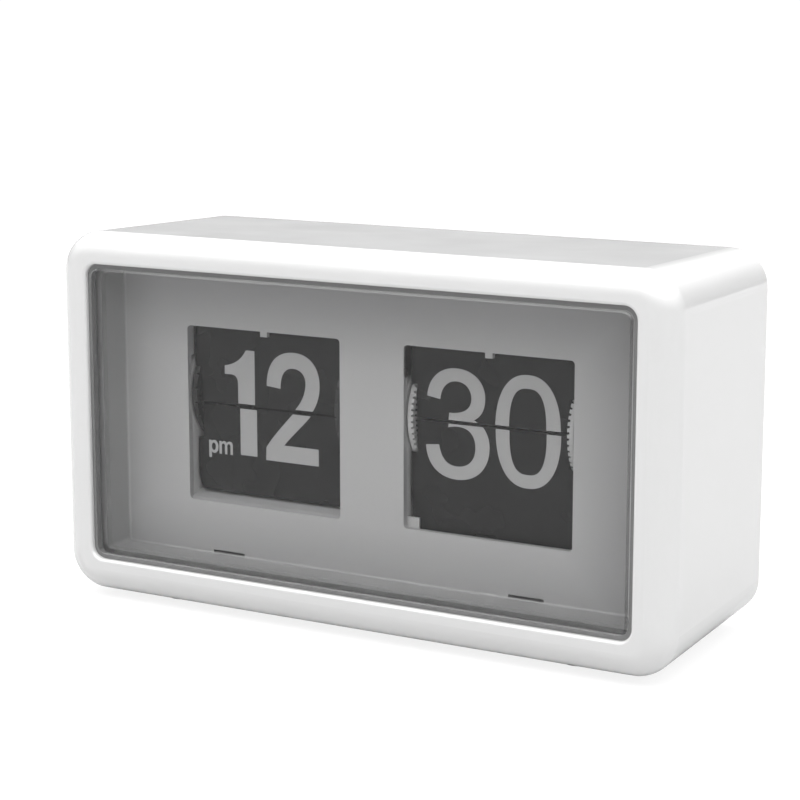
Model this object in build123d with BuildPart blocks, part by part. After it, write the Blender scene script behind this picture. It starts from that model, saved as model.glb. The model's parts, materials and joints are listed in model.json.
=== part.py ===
from build123d import *
import math
import os

os.makedirs("parts", exist_ok=True)

# Flip number clock, in millimetres. X runs to the right of someone facing the dial, +Y to the back,
# +Z up. The origin is the centre of the footprint, on the plane the feet stand on.

# ---------------------------------------------------------------- driving dimensions
# housing
WIDTH = 165.0
DEPTH = 58.0
HEIGHT = 90.5
STAND = 1.5
WALL = 2.5
BEZEL_WALL = 3.0
CORNER = 10.0
FRONT_ROUND = 6.0
SIDE_DRAFT = 1.85
TOP_DRAFT = 0.93
UNDER_DRAFT = 1.6
FRONT_Y = -DEPTH / 2
BACK_Y = DEPTH / 2

# window, lens and dial mask
WINDOW_W = 147.0
WINDOW_LOW = 10.35
WINDOW_TOP = 84.3
WINDOW_CORNER = 3.2
LENS_GAP = 1.1
LENS_FACE_Y = FRONT_Y + 0.4
LENS_THICK = 2.0
SEAT_Y = FRONT_Y + BEZEL_WALL
LENS_BACK_Y = SEAT_Y + 1.4
MASK_W = 143.6
MASK_LOW = 12.0
MASK_TOP = 82.7
MASK_WALL = 1.4
PANEL_Y = FRONT_Y + 13.6
PANEL = 1.5
PANEL_BACK = PANEL_Y + PANEL
OPENING_W = 44.0
OPENING_LOW = 25.25
OPENING_TOP = 69.0

# number drums; both turn on one line parallel to X
AXIS_Y = -0.9
AXIS_Z = 51.5
DRUM_X = 30.75
DISC_R = 13.75
DISC = 1.55
DISC_IN = 19.95
RING_R = 12.0
GROOVE = 0.8
AXLE_R = 1.5
LEAF_W = 42.7
NECK_W = 39.5
NECK = 7.5
LEAF = 0.2
EAR = 0.6
MINUTE_LEAVES = 60
HOUR_LEAVES = 24
MINUTE_REACH = 22.95
HOUR_REACH = 20.5
MINUTE_ROOT = 0.45
HOUR_ROOT = 1.15

# movement
PLATE = 1.5
PLATE_IN = 8.7
PLATE_OUT = 52.8
PLATE_FRONT = PANEL_BACK + 0.15
BASE_LOW = 7.0
BASE_TOP = 9.0
BASE_TALL = BASE_TOP - BASE_LOW
BUSH_R = 2.6
RUN = 0.05
MODULE = 0.4
GEAR_W = 2.0
TRAIN_X = 62.4
TRAIN_PLATE = 1.2

# rear cover
COVER_Y = BACK_Y - 4.0
COVER = 2.0
COVER_FACE = COVER_Y + COVER
CELL_X = -67.0
CELL_R = 7.1
WHEEL_R = 12.0
WHEEL_X = 64.6
WHEEL_W = 4.0

# screws
SCREW_R = 1.0
PILOT_R = 1.05
CLEAR_R = 1.25
HEAD_R = 2.0


# ---------------------------------------------------------------- shared geometry
def at_y(y):
    """Upright sketch plane at depth y; local x and y are X and Z, and it faces the front."""
    return Plane.XZ.offset(-y)


def at_x(x):
    """Sketch plane across the clock at x; local x and y are Y and Z."""
    return Plane.YZ.offset(x)


def side_x(y):
    return WIDTH / 2 - SIDE_DRAFT * (y - FRONT_Y) / DEPTH


def under_z(y):
    return STAND + UNDER_DRAFT * (y - FRONT_Y) / DEPTH


def roof_z(y):
    return STAND + HEIGHT - TOP_DRAFT * (y - FRONT_Y) / DEPTH


def middle_z(y):
    return (under_z(y) + roof_z(y)) / 2


def polar(radius, degrees):
    return radius * math.cos(math.radians(degrees)), radius * math.sin(math.radians(degrees))


def beside(centre, radius, degrees):
    """The point at a distance and an angle (from +Y towards +Z) from a point given as (y, z)."""
    dy, dz = polar(radius, degrees)
    return centre[0] + dy, centre[1] + dz


def pitch_r(teeth):
    return teeth * MODULE / 2


def gear_outline(teeth, centre, phase):
    """Involute tooth outline as (y, z) points, with one tooth at the phase angle."""
    addendum = 0.8 * MODULE
    dedendum = 1.3 * MODULE
    backlash = 0.08
    steps = 3
    pitch = pitch_r(teeth)
    base = pitch * math.cos(math.radians(20))
    tip = pitch + addendum
    root = pitch - dedendum
    start = max(root, base)

    def involute(radius):
        ratio = max(radius / base, 1.0)
        return math.sqrt(ratio * ratio - 1) - math.acos(1 / ratio)

    half = math.pi / (2 * teeth) - backlash / (2 * pitch) + involute(pitch)
    radii = [start + (tip - start) * step / steps for step in range(steps + 1)]
    flank = [(radius, half - involute(radius)) for radius in radii]
    if root < start:
        flank.insert(0, (root, flank[0][1]))
    points = []
    for tooth in range(teeth):
        middle = math.radians(phase) + 2 * math.pi * tooth / teeth
        for radius, angle in [(r, -a) for r, a in flank] + [(r, a) for r, a in reversed(flank)]:
            points.append(beside(centre, radius, math.degrees(middle + angle)))
    return points


def meshed_phase(phase, teeth, other_teeth, direction):
    """Phase of a gear that meshes with one of the given phase, lying in the given direction from it."""
    return direction + 180 + 180 / other_teeth - (phase - direction) * teeth / other_teeth


def leaf_plane(x, y, z, direction):
    """Plane of a leaf: origin on its ears, local x along the ears, local y towards its free edge."""
    dy, dz = polar(1, direction)
    return Plane(origin=(x, y, z), x_dir=(1, 0, 0), z_dir=(0, -dz, dy))


def blend(value, table):
    """Straight-line interpolation in a short table of (value, result) pairs."""
    for (low, first), (high, last) in zip(table, table[1:]):
        if value <= high:
            return first + (last - first) * (value - low) / (high - low)
    return table[-1][1]


# how a leaf leans (0 is towards the back, 90 is up, 270 is down) against its place on the ring,
# counted from the front over the top
OVER_THE_TOP = 150
UPPER_FAN = [(0, 90), (4, 90), (30, 88), (60, 77), (90, 67), (OVER_THE_TOP, 49)]
LOWER_FAN = [(OVER_THE_TOP, -49), (180, -76), (270, -84), (330, -86), (342, -90), (360, -90)]


def leaf_planes(x, count, first, pitch):
    """One plane for every leaf of a pack, in order round the ring from the front over the top."""
    step = 360 / count
    front = AXIS_Y - RING_R * math.cos(math.radians(first))
    planes = []
    for index in range(count):
        turn = first + index * step
        behind = index if turn < 180 else count - index
        back = RING_R * math.sin(math.radians(turn))
        depth = max(AXIS_Y - RING_R * math.cos(math.radians(turn)), front + pitch * behind)
        fan = UPPER_FAN if turn <= OVER_THE_TOP else LOWER_FAN
        planes.append(leaf_plane(x, depth, AXIS_Z + back, blend(turn, fan)))
    return planes


# places of the arbors, as (y, z)
DRUM_AXIS = (AXIS_Y, AXIS_Z)
CARRY_TEETH = (14, 56)
HOUR_TEETH = (10, 60)
DRIVE_TEETH = (12, 60)
ROTOR_TEETH = (10, 60)
SETTING_TEETH = 30
MINUTE_TEETH = 60
CARRY_DIRECTION = -60.0
DRIVE_DIRECTION = -50.0
ROTOR_DIRECTION = -110.0
CARRY_AXIS = beside(DRUM_AXIS, pitch_r(sum(CARRY_TEETH)), CARRY_DIRECTION)
DRIVE_AXIS = beside(DRUM_AXIS, pitch_r(MINUTE_TEETH + DRIVE_TEETH[0]), DRIVE_DIRECTION)
ROTOR_AXIS = beside(DRIVE_AXIS, pitch_r(sum(ROTOR_TEETH)), ROTOR_DIRECTION)
SETTING_REACH = pitch_r(MINUTE_TEETH + SETTING_TEETH)
SETTING_Y = BACK_Y - 0.2 - WHEEL_R
SETTING_DIRECTION = math.degrees(math.acos((SETTING_Y - AXIS_Y) / SETTING_REACH))
SETTING_AXIS = beside(DRUM_AXIS, SETTING_REACH, SETTING_DIRECTION)

# places of the fixings
MASK_FIXINGS = [(x, z) for x in (-77.4, 77.4) for z in (25.0, 70.0)]
REAR_FIXINGS = [(x, z) for x in (-74.6, 74.6) for z in (10.0, 84.0)]
BASE_FIXINGS = [(x, y) for x in (-48.0, 58.5) for y in (-7.0, 13.0)]
FRONT_FEET = [(-55.0, -15.0), (55.0, -15.0)]
REAR_FEET = [(-55.0, 19.0), (55.0, 19.0)]
FOOT_R = 5.0
FRONT_FOOT_TOP = 2.6
REAR_FOOT_TOP = 3.5
TIE_RODS = [(-9.5, 12.5), (14.5, 12.5)]
TIE_R = 1.25
PILLARS = [(-8.5, 30.0), (21.0, 33.0), (3.0, 70.0)]
PILLAR_R = 2.0
CELL_Y = COVER_FACE - 9.3
CELL_LOW = 16.5
CELL_TOP = 73.5
CELL_HALF = 8.25
DOOR_LOW = 13.6
DOOR_TOP = 77.0
DOOR_HALF = 9.6
DOOR = 1.6

# ---------------------------------------------------------------- housing
with BuildPart() as housing_shell:
    for y, corner in ((FRONT_Y, CORNER), (BACK_Y, CORNER - 0.8)):
        with BuildSketch(at_y(y)):
            with Locations((0, middle_z(y))):
                RectangleRounded(2 * side_x(y), roof_z(y) - under_z(y), corner)
    loft()
    fillet(housing_shell.edges().group_by(Axis.Y)[0], FRONT_ROUND)
    for y, corner in ((SEAT_Y, CORNER - WALL), (BACK_Y, CORNER - WALL - 0.8)):
        with BuildSketch(at_y(y)):
            with Locations((0, middle_z(y))):
                RectangleRounded(2 * (side_x(y) - WALL), roof_z(y) - under_z(y) - 2 * WALL, corner)
    loft(mode=Mode.SUBTRACT)
    # window, with a softly rounded lip
    with BuildSketch(at_y(FRONT_Y)):
        with Locations((0, (WINDOW_LOW + WINDOW_TOP) / 2)):
            RectangleRounded(WINDOW_W, WINDOW_TOP - WINDOW_LOW, WINDOW_CORNER)
    extrude(amount=-BEZEL_WALL, mode=Mode.SUBTRACT)
    fillet(housing_shell.faces().sort_by(Axis.Y)[0].inner_wires()[0].edges(), 0.8)
    # bosses for the mask, behind the front wall
    with BuildSketch(at_y(LENS_BACK_Y - RUN)):
        with Locations(*MASK_FIXINGS):
            Circle(2.3)
    extrude(amount=1.6)
    with BuildSketch(at_y(LENS_BACK_Y)):
        with Locations(*MASK_FIXINGS):
            Circle(PILOT_R)
    extrude(amount=3.2, mode=Mode.SUBTRACT)
    # posts for the rear cover, merged into the corners
    with BuildSketch(at_y(COVER_Y)):
        with Locations(*REAR_FIXINGS):
            Circle(3.6)
    extrude(amount=6.4)
    with BuildSketch(at_y(COVER_Y)):
        with Locations(*REAR_FIXINGS):
            Circle(PILOT_R)
    extrude(amount=5.6, mode=Mode.SUBTRACT)
    # bosses for the movement's base
    with BuildSketch(Plane.XY.offset(BASE_LOW)):
        with Locations(*BASE_FIXINGS):
            Circle(3.0)
    extrude(amount=-3.6)
    with BuildSketch(Plane.XY.offset(BASE_LOW)):
        with Locations(*BASE_FIXINGS):
            Circle(PILOT_R)
    extrude(amount=-3.0, mode=Mode.SUBTRACT)
    # shallow seats for the feet
    for places, top in ((FRONT_FEET, FRONT_FOOT_TOP), (REAR_FEET, REAR_FOOT_TOP)):
        with BuildSketch(Plane.XY):
            with Locations(*places):
                Circle(FOOT_R + RUN)
        extrude(amount=top, mode=Mode.SUBTRACT)
housing_shell.part.label = "housing_shell"
export_step(housing_shell.part, "parts/housing_shell.step")

with BuildPart() as feet:
    for places, top in ((FRONT_FEET, FRONT_FOOT_TOP), (REAR_FEET, REAR_FOOT_TOP)):
        with BuildSketch(Plane.XY):
            with Locations(*places):
                Circle(FOOT_R)
        extrude(amount=top)
    chamfer(feet.edges().group_by(Axis.Z)[0], 0.5)
feet.part.label = "feet"
export_step(feet.part, "parts/feet.step")

# ---------------------------------------------------------------- lens, seal and dial mask
LENS_W = WINDOW_W - 2 * LENS_GAP
LENS_H = WINDOW_TOP - WINDOW_LOW - 2 * LENS_GAP
WINDOW_Z = (WINDOW_LOW + WINDOW_TOP) / 2

with BuildPart() as lens:
    with BuildSketch(at_y(LENS_FACE_Y)):
        with Locations((0, WINDOW_Z)):
            RectangleRounded(LENS_W, LENS_H, 2.4)
    extrude(amount=LENS_FACE_Y - LENS_BACK_Y)
    chamfer(lens.faces().sort_by(Axis.Y)[0].edges(), 0.5)
    with BuildSketch(at_y(SEAT_Y + RUN)):
        with Locations((0, WINDOW_Z)):
            RectangleRounded(WINDOW_W + 3, WINDOW_TOP - WINDOW_LOW + 3, 3.5)
    extrude(amount=SEAT_Y + RUN - LENS_BACK_Y)
    with BuildSketch(at_y(LENS_BACK_Y)):
        with Locations((0, WINDOW_Z)):
            RectangleRounded(LENS_W - 4, LENS_H - 3, 1.6)
    extrude(amount=LENS_BACK_Y - LENS_FACE_Y - LENS_THICK, mode=Mode.SUBTRACT)
lens.part.label = "lens"
export_step(lens.part, "parts/lens.step")

with BuildPart() as lens_seal:
    with BuildSketch(at_y(SEAT_Y)):
        with Locations((0, WINDOW_Z)):
            RectangleRounded(WINDOW_W - 0.1, WINDOW_TOP - WINDOW_LOW - 0.1, WINDOW_CORNER)
            RectangleRounded(LENS_W + 0.1, LENS_H + 0.1, 2.4, mode=Mode.SUBTRACT)
    extrude(amount=1.7)
lens_seal.part.label = "lens_seal"
export_step(lens_seal.part, "parts/lens_seal.step")

MASK_Z = (MASK_LOW + MASK_TOP) / 2
MASK_H = MASK_TOP - MASK_LOW
OPENING_Z = (OPENING_LOW + OPENING_TOP) / 2
OPENING_LEFT = DRUM_X - OPENING_W / 2
CATCH_W = 1.9
CATCH_PEG_Z = (75.0, 79.5)

with BuildPart() as dial_mask:
    # flange that clamps the lens, then the box and its floor
    with BuildSketch(at_y(LENS_BACK_Y)):
        with Locations((0, middle_z(LENS_BACK_Y))):
            RectangleRounded(2 * (side_x(LENS_BACK_Y) - WALL) - 1.2, 83.6, 6.2)
    extrude(amount=-1.4)
    with BuildSketch(at_y(LENS_BACK_Y)):
        with Locations((0, MASK_Z)):
            RectangleRounded(MASK_W + 2 * MASK_WALL, MASK_H + 2 * MASK_WALL, 2.4)
    extrude(amount=LENS_BACK_Y - PANEL_BACK)
    with BuildSketch(at_y(LENS_BACK_Y)):
        with Locations((0, MASK_Z)):
            RectangleRounded(MASK_W, MASK_H, 1.2)
    extrude(amount=LENS_BACK_Y - PANEL_Y, mode=Mode.SUBTRACT)
    floor_edges = dial_mask.edges().filter_by_position(Axis.Y, PANEL_Y - 0.01, PANEL_Y + 0.01)
    fillet(floor_edges, 0.7)
    # number openings
    with BuildSketch(at_y(PANEL_Y)) as openings:
        with Locations((-DRUM_X, OPENING_Z), (DRUM_X, OPENING_Z)):
            RectangleRounded(OPENING_W, OPENING_TOP - OPENING_LOW, 1.0)
    extrude(amount=-PANEL, mode=Mode.SUBTRACT)
    # narrow slots at the foot of the panel
    with BuildSketch(at_y(PANEL_Y - 1)):
        with Locations((-41.2, MASK_LOW + 0.75), (41.2, MASK_LOW + 0.75)):
            Rectangle(9.2, 0.7)
    extrude(amount=-1 - PANEL, mode=Mode.SUBTRACT)
    # sloping sill behind the hour opening
    with BuildSketch(at_x(-DRUM_X - OPENING_W / 2)):
        Polygon(
            (PANEL_BACK - 0.4, OPENING_LOW - 1.6),
            (PANEL_BACK - 0.4, OPENING_LOW + 0.48),
            (PANEL_Y + 0.4, OPENING_LOW),
            (PANEL_Y, OPENING_LOW),
            (PANEL_Y, OPENING_LOW - 1.6),
            align=None,
        )
        Polygon(
            (PANEL_BACK - 0.4, OPENING_LOW - 1.6),
            (PANEL_BACK - 0.4, OPENING_LOW + 0.48),
            (PANEL_Y + 4.8, OPENING_LOW + 1.75),
            (PANEL_Y + 4.8, OPENING_LOW + 0.3),
            align=None,
        )
    extrude(amount=OPENING_W)
    # corner web behind the minute opening
    with BuildSketch(at_y(PANEL_BACK)):
        with Locations((OPENING_LEFT + 1.8, OPENING_LOW - 0.5)):
            Rectangle(3.2, 6.2)
    extrude(amount=-0.5)
    # return flange beside the hour opening, above the side plate
    with BuildSketch(at_y(PANEL_BACK)):
        with Locations((-DRUM_X - OPENING_W / 2 - 0.85, 65.6)):
            Rectangle(1.5, 8.8)
    extrude(amount=-1.4)
    # relief that thins the minute opening's edge above the side plate
    with BuildSketch(at_y(PANEL_BACK)):
        with Locations((OPENING_LEFT, 65.6)):
            Rectangle(3.0, 8.8)
    extrude(amount=1.0, mode=Mode.SUBTRACT)
    # pegs that hold the leaf catches
    with BuildSketch(at_y(PANEL_BACK)):
        with Locations(*[(x, z) for x in (-DRUM_X, DRUM_X) for z in CATCH_PEG_Z]):
            Circle(0.8)
    extrude(amount=-0.5)
    with BuildSketch(at_y(PANEL_BACK + 0.5)):
        with Locations(*[(x, z) for x in (-DRUM_X, DRUM_X) for z in CATCH_PEG_Z]):
            Circle(1.2)
    extrude(amount=-0.3)
    with BuildSketch(at_y(LENS_BACK_Y)):
        with Locations(*MASK_FIXINGS):
            Circle(CLEAR_R)
    extrude(amount=-1.4, mode=Mode.SUBTRACT)
dial_mask.part.label = "dial_mask"
export_step(dial_mask.part, "parts/dial_mask.step")

# a springy finger above each opening; its hooked tip shows at the opening's top edge
for catch_name, catch_x in (("hour_leaf_catch", -DRUM_X), ("minute_leaf_catch", DRUM_X)):
    with BuildPart() as leaf_catch:
        with BuildSketch(at_y(PANEL_BACK)):
            with Locations((catch_x, 77.25)):
                RectangleRounded(7.0, 8.0, 1.0)
            with Locations((catch_x, 71.0)):
                Rectangle(CATCH_W, 6.8)
            with Locations(*[(catch_x, z) for z in CATCH_PEG_Z]):
                Circle(0.85, mode=Mode.SUBTRACT)
        extrude(amount=-0.4)
        with BuildSketch(at_y(PANEL_BACK)):
            with Locations((catch_x, OPENING_TOP - 0.75)):
                Rectangle(CATCH_W, 1.3)
        extrude(amount=0.8)
    leaf_catch.part.label = catch_name
    export_step(leaf_catch.part, "parts/" + catch_name + ".step")

# ---------------------------------------------------------------- movement frame
SLOT_SPANS = ((-9.0, -3.0), (5.0, 11.0))
PLATE_XS = (-PLATE_OUT - PLATE, -PLATE_IN, PLATE_IN - PLATE, PLATE_OUT)

with BuildPart() as chassis_base:
    with BuildSketch(Plane.XY.offset(BASE_LOW)):
        with Locations((3.2, 2.6)):
            RectangleRounded(120.4, 32.4, 2.0)
    extrude(amount=BASE_TALL)
    with BuildSketch(Plane.XY.offset(BASE_LOW)):
        with Locations(*[(x + PLATE / 2, (a + b) / 2) for x in PLATE_XS for a, b in SLOT_SPANS]):
            Rectangle(PLATE + 2 * RUN, 6.0 + 2 * RUN)
    extrude(amount=BASE_TALL, mode=Mode.SUBTRACT)
    with BuildSketch(Plane.XY.offset(BASE_LOW)):
        with Locations(*BASE_FIXINGS):
            Circle(CLEAR_R)
    extrude(amount=BASE_TALL, mode=Mode.SUBTRACT)
chassis_base.part.label = "chassis_base"
export_step(chassis_base.part, "parts/chassis_base.step")

# one kind of screw holds the mask to the housing's front and the base to its floor
INNER_SCREWS = (
    (at_y(LENS_BACK_Y + 1.4), MASK_FIXINGS),
    (Plane(origin=(0, 0, BASE_TOP), x_dir=(1, 0, 0), z_dir=(0, 0, -1)), [(x, -y) for x, y in BASE_FIXINGS]),
)
with BuildPart() as inner_screws:
    for seat, places in INNER_SCREWS:
        with BuildSketch(seat):
            with Locations(*places):
                Circle(SCREW_R)
        extrude(amount=4.2)
        with BuildSketch(seat):
            with Locations(*places):
                Circle(HEAD_R)
        extrude(amount=-1.3, taper=15)
inner_screws.part.label = "inner_screws"
export_step(inner_screws.part, "parts/inner_screws.step")

# the three small side plates share one outline and differ in their holes
SMALL_OUTLINE = (
    (PLATE_FRONT, BASE_TOP),
    (PLATE_FRONT, 61.0),
    (6.0, 61.0),
    (13.0, 46.0),
    (18.5, 20.0),
    (18.5, BASE_TOP),
)
SIDE_PLATES = (
    ("hour_left_plate", -PLATE_OUT - PLATE, False),
    ("hour_right_plate", -PLATE_IN, True),
    ("minute_left_plate", PLATE_IN - PLATE, True),
)
for plate_name, plate_x, holds_carry in SIDE_PLATES:
    with BuildPart() as side_plate:
        with BuildSketch(at_x(plate_x)) as plate_face:
            Polygon(*SMALL_OUTLINE, align=None)
            fillet(plate_face.vertices().group_by(Axis.Y)[-1], 4.0)
            for low, high in SLOT_SPANS:
                with Locations(((low + high) / 2, BASE_LOW + BASE_TALL / 2)):
                    Rectangle(6.0, BASE_TALL)
            with Locations(DRUM_AXIS):
                Circle(BUSH_R, mode=Mode.SUBTRACT)
            with Locations(*TIE_RODS):
                Circle(TIE_R + RUN, mode=Mode.SUBTRACT)
            if holds_carry:
                with Locations(CARRY_AXIS):
                    Circle(1.0 + RUN, mode=Mode.SUBTRACT)
        extrude(amount=PLATE)
    side_plate.part.label = plate_name
    export_step(side_plate.part, "parts/" + plate_name + ".step")

LARGE_OUTLINE = (
    (PLATE_FRONT, BASE_TOP),
    (PLATE_FRONT, 64.0),
    (-3.0, 76.0),
    (9.0, 76.0),
    (24.0, 63.0),
    (24.0, 28.0),
    (18.5, 16.0),
    (18.5, BASE_TOP),
)
with BuildPart() as minute_right_plate:
    with BuildSketch(at_x(PLATE_OUT)) as plate_face:
        Polygon(*LARGE_OUTLINE, align=None)
        fillet(plate_face.vertices().group_by(Axis.Y)[-2:], 3.0)
        for low, high in SLOT_SPANS:
            with Locations(((low + high) / 2, BASE_LOW + BASE_TALL / 2)):
                Rectangle(6.0, BASE_TALL)
        with Locations(DRUM_AXIS):
            Circle(BUSH_R, mode=Mode.SUBTRACT)
        with Locations(*TIE_RODS):
            Circle(TIE_R + RUN, mode=Mode.SUBTRACT)
        with Locations(DRIVE_AXIS):
            Circle(0.75 + RUN, mode=Mode.SUBTRACT)
        with Locations(SETTING_AXIS):
            Circle(TIE_R + RUN, mode=Mode.SUBTRACT)
        with Locations(*PILLARS):
            Circle(SCREW_R + RUN, mode=Mode.SUBTRACT)
    extrude(amount=PLATE)
minute_right_plate.part.label = "minute_right_plate"
export_step(minute_right_plate.part, "parts/minute_right_plate.step")

MOTOR_PEGS = [(-8.0, 14.0), (15.0, 33.0)]
with BuildPart() as train_plate:
    with BuildSketch(at_x(TRAIN_X)):
        Polygon(*LARGE_OUTLINE, align=None)
        with Locations(ROTOR_AXIS):
            Circle(0.5 + RUN, mode=Mode.SUBTRACT)
        with Locations(DRIVE_AXIS):
            Circle(0.75 + RUN, mode=Mode.SUBTRACT)
        with Locations(SETTING_AXIS):
            Circle(TIE_R + RUN, mode=Mode.SUBTRACT)
        with Locations(*PILLARS):
            Circle(SCREW_R + RUN, mode=Mode.SUBTRACT)
        with Locations(*MOTOR_PEGS):
            Circle(1.5 + RUN, mode=Mode.SUBTRACT)
    extrude(amount=TRAIN_PLATE)
train_plate.part.label = "train_plate"
export_step(train_plate.part, "parts/train_plate.step")

# pillars with a spigot at each end, riveted into the two right-hand plates
with BuildPart() as train_pillars:
    with BuildSketch(at_x(PLATE_OUT)):
        with Locations(*PILLARS):
            Circle(SCREW_R)
    extrude(amount=TRAIN_X + TRAIN_PLATE - PLATE_OUT)
    with BuildSketch(at_x(PLATE_OUT + PLATE)):
        with Locations(*PILLARS):
            Circle(PILLAR_R)
    extrude(amount=TRAIN_X - PLATE_OUT - PLATE)
train_pillars.part.label = "train_pillars"
export_step(train_pillars.part, "parts/train_pillars.step")

TIE_HALF = PLATE_OUT + PLATE
with BuildPart() as tie_rods:
    with BuildSketch(at_x(-TIE_HALF - 1.9)):
        with Locations(*TIE_RODS):
            Circle(TIE_R)
    extrude(amount=2 * (TIE_HALF + 1.9))
tie_rods.part.label = "tie_rods"
export_step(tie_rods.part, "parts/tie_rods.step")

with BuildPart() as tie_nuts:
    for nut_x in (-TIE_HALF - 1.6, TIE_HALF):
        with BuildSketch(at_x(nut_x)):
            with Locations(*TIE_RODS):
                RegularPolygon(2.5, 6)
                Circle(TIE_R, mode=Mode.SUBTRACT)
        extrude(amount=1.6)
tie_nuts.part.label = "tie_nuts"
export_step(tie_nuts.part, "parts/tie_nuts.step")

with BuildPart() as axle_bushes:
    for plate_x, flange_x in zip(PLATE_XS, (-PLATE_OUT, -PLATE_IN - 0.3, PLATE_IN, PLATE_OUT - 0.3)):
        with BuildSketch(at_x(plate_x)):
            with Locations(DRUM_AXIS):
                Circle(BUSH_R)
                Circle(AXLE_R + RUN, mode=Mode.SUBTRACT)
        extrude(amount=PLATE)
        with BuildSketch(at_x(flange_x)):
            with Locations(DRUM_AXIS):
                Circle(BUSH_R + 1.0)
                Circle(AXLE_R + RUN, mode=Mode.SUBTRACT)
        extrude(amount=0.3)
axle_bushes.part.label = "axle_bushes"
export_step(axle_bushes.part, "parts/axle_bushes.step")

# ---------------------------------------------------------------- number drums
MINUTE_AXLE = (2.6, 58.6)
HOUR_AXLE = (-56.0, -3.9)
for axle_name, (axle_start, axle_end) in (("minute_axle", MINUTE_AXLE), ("hour_axle", HOUR_AXLE)):
    with BuildPart() as axle:
        with BuildSketch(at_x(axle_start)):
            with Locations(DRUM_AXIS):
                Circle(AXLE_R)
        extrude(amount=axle_end - axle_start)
        chamfer(axle.edges(), 0.2)
    axle.part.label = axle_name
    export_step(axle.part, "parts/" + axle_name + ".step")

for hub_name, hub_x in (("minute_hub", DRUM_X), ("hour_hub", -DRUM_X)):
    with BuildPart() as hub:
        with BuildSketch(at_x(hub_x - DISC_IN)):
            with Locations(DRUM_AXIS):
                Circle(4.6)
                Circle(AXLE_R, mode=Mode.SUBTRACT)
        extrude(amount=2 * DISC_IN)
        # relieved middle
        with BuildSketch(at_x(hub_x - DISC_IN + 5)):
            with Locations(DRUM_AXIS):
                Circle(5.0)
                Circle(3.4, mode=Mode.SUBTRACT)
        extrude(amount=2 * DISC_IN - 10, mode=Mode.SUBTRACT)
    hub.part.label = hub_name
    export_step(hub.part, "parts/" + hub_name + ".step")

# each disc has a groove for the leaf ears, a notch for every leaf and four windows
DISCS = (
    ("minute_left_disc", DRUM_X, -1, MINUTE_LEAVES),
    ("minute_right_disc", DRUM_X, 1, MINUTE_LEAVES),
    ("hour_left_disc", -DRUM_X, -1, HOUR_LEAVES),
    ("hour_right_disc", -DRUM_X, 1, HOUR_LEAVES),
)
for disc_name, drum_x, side, notches in DISCS:
    with BuildPart() as disc:
        inner_x = drum_x + side * DISC_IN
        with BuildSketch(at_x(inner_x)):
            with Locations(DRUM_AXIS):
                Circle(DISC_R)
                Circle(AXLE_R, mode=Mode.SUBTRACT)
                with PolarLocations(7.6, 4, 45):
                    Circle(1.9, mode=Mode.SUBTRACT)
        extrude(amount=side * DISC)
        outer_rim = disc.edges().filter_by(GeomType.CIRCLE).sort_by(SortBy.RADIUS)[-2:].sort_by(Axis.X)
        fillet(outer_rim[-1] if side > 0 else outer_rim[0], 0.25)
        with BuildSketch(at_x(inner_x)):
            with Locations(DRUM_AXIS):
                Circle(RING_R + 0.75)
                Circle(RING_R - 0.85, mode=Mode.SUBTRACT)
        extrude(amount=side * GROOVE, mode=Mode.SUBTRACT)
        with BuildSketch(at_x(inner_x)):
            with Locations(DRUM_AXIS):
                with PolarLocations(DISC_R, notches, 180 / notches):
                    Rectangle(2.1, 0.6)
        extrude(amount=side * 0.55, mode=Mode.SUBTRACT)
    disc.part.label = disc_name
    export_step(disc.part, "parts/" + disc_name + ".step")


# ---------------------------------------------------------------- leaves
def leaf_corner(reach, side):
    """Control points of the long soft corner at a leaf's free edge."""
    edge = LEAF_W / 2
    return (side * edge, reach - 6.0), (side * edge, reach), (side * (edge - 2.2), reach)


def leaf_shoulder(root, side):
    """Corners of one side of the neck that leaves room for the disc, from the body to the root."""
    return (side * LEAF_W / 2, NECK), (side * NECK_W / 2, NECK), (side * NECK_W / 2, -root)


MINUTE_PLANES = leaf_planes(DRUM_X, MINUTE_LEAVES, 3.0, 0.26)
HOUR_PLANES = leaf_planes(-DRUM_X, HOUR_LEAVES, -2.0, 0.8)
# the first leaf of each pack is the one about to fall, and is a piece of its own
LEAF_SETS = (
    ("minute_leaves", MINUTE_PLANES[1:], MINUTE_REACH, MINUTE_ROOT),
    ("hour_leaves", HOUR_PLANES[1:], HOUR_REACH, HOUR_ROOT),
    ("minute_flap", MINUTE_PLANES[:1], MINUTE_REACH, MINUTE_ROOT),
    ("hour_flap", HOUR_PLANES[:1], HOUR_REACH, HOUR_ROOT),
)
for leaf_name, planes, reach, root in LEAF_SETS:
    right = leaf_corner(reach, 1)
    left = leaf_corner(reach, -1)
    with BuildPart() as leaves:
        for plane in planes:
            with BuildSketch(plane):
                with BuildLine():
                    Polyline(left[0], *leaf_shoulder(root, -1), *reversed(leaf_shoulder(root, 1)), right[0])
                    Bezier(*right)
                    Line(right[2], left[2])
                    Bezier(*left)
                make_face()
                with Locations((-NECK_W / 2, 0), (NECK_W / 2, 0)):
                    Rectangle(2 * EAR, 0.5)
            extrude(amount=LEAF / 2, both=True)
    leaves.part.label = leaf_name
    export_step(leaves.part, "parts/" + leaf_name + ".step")

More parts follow.
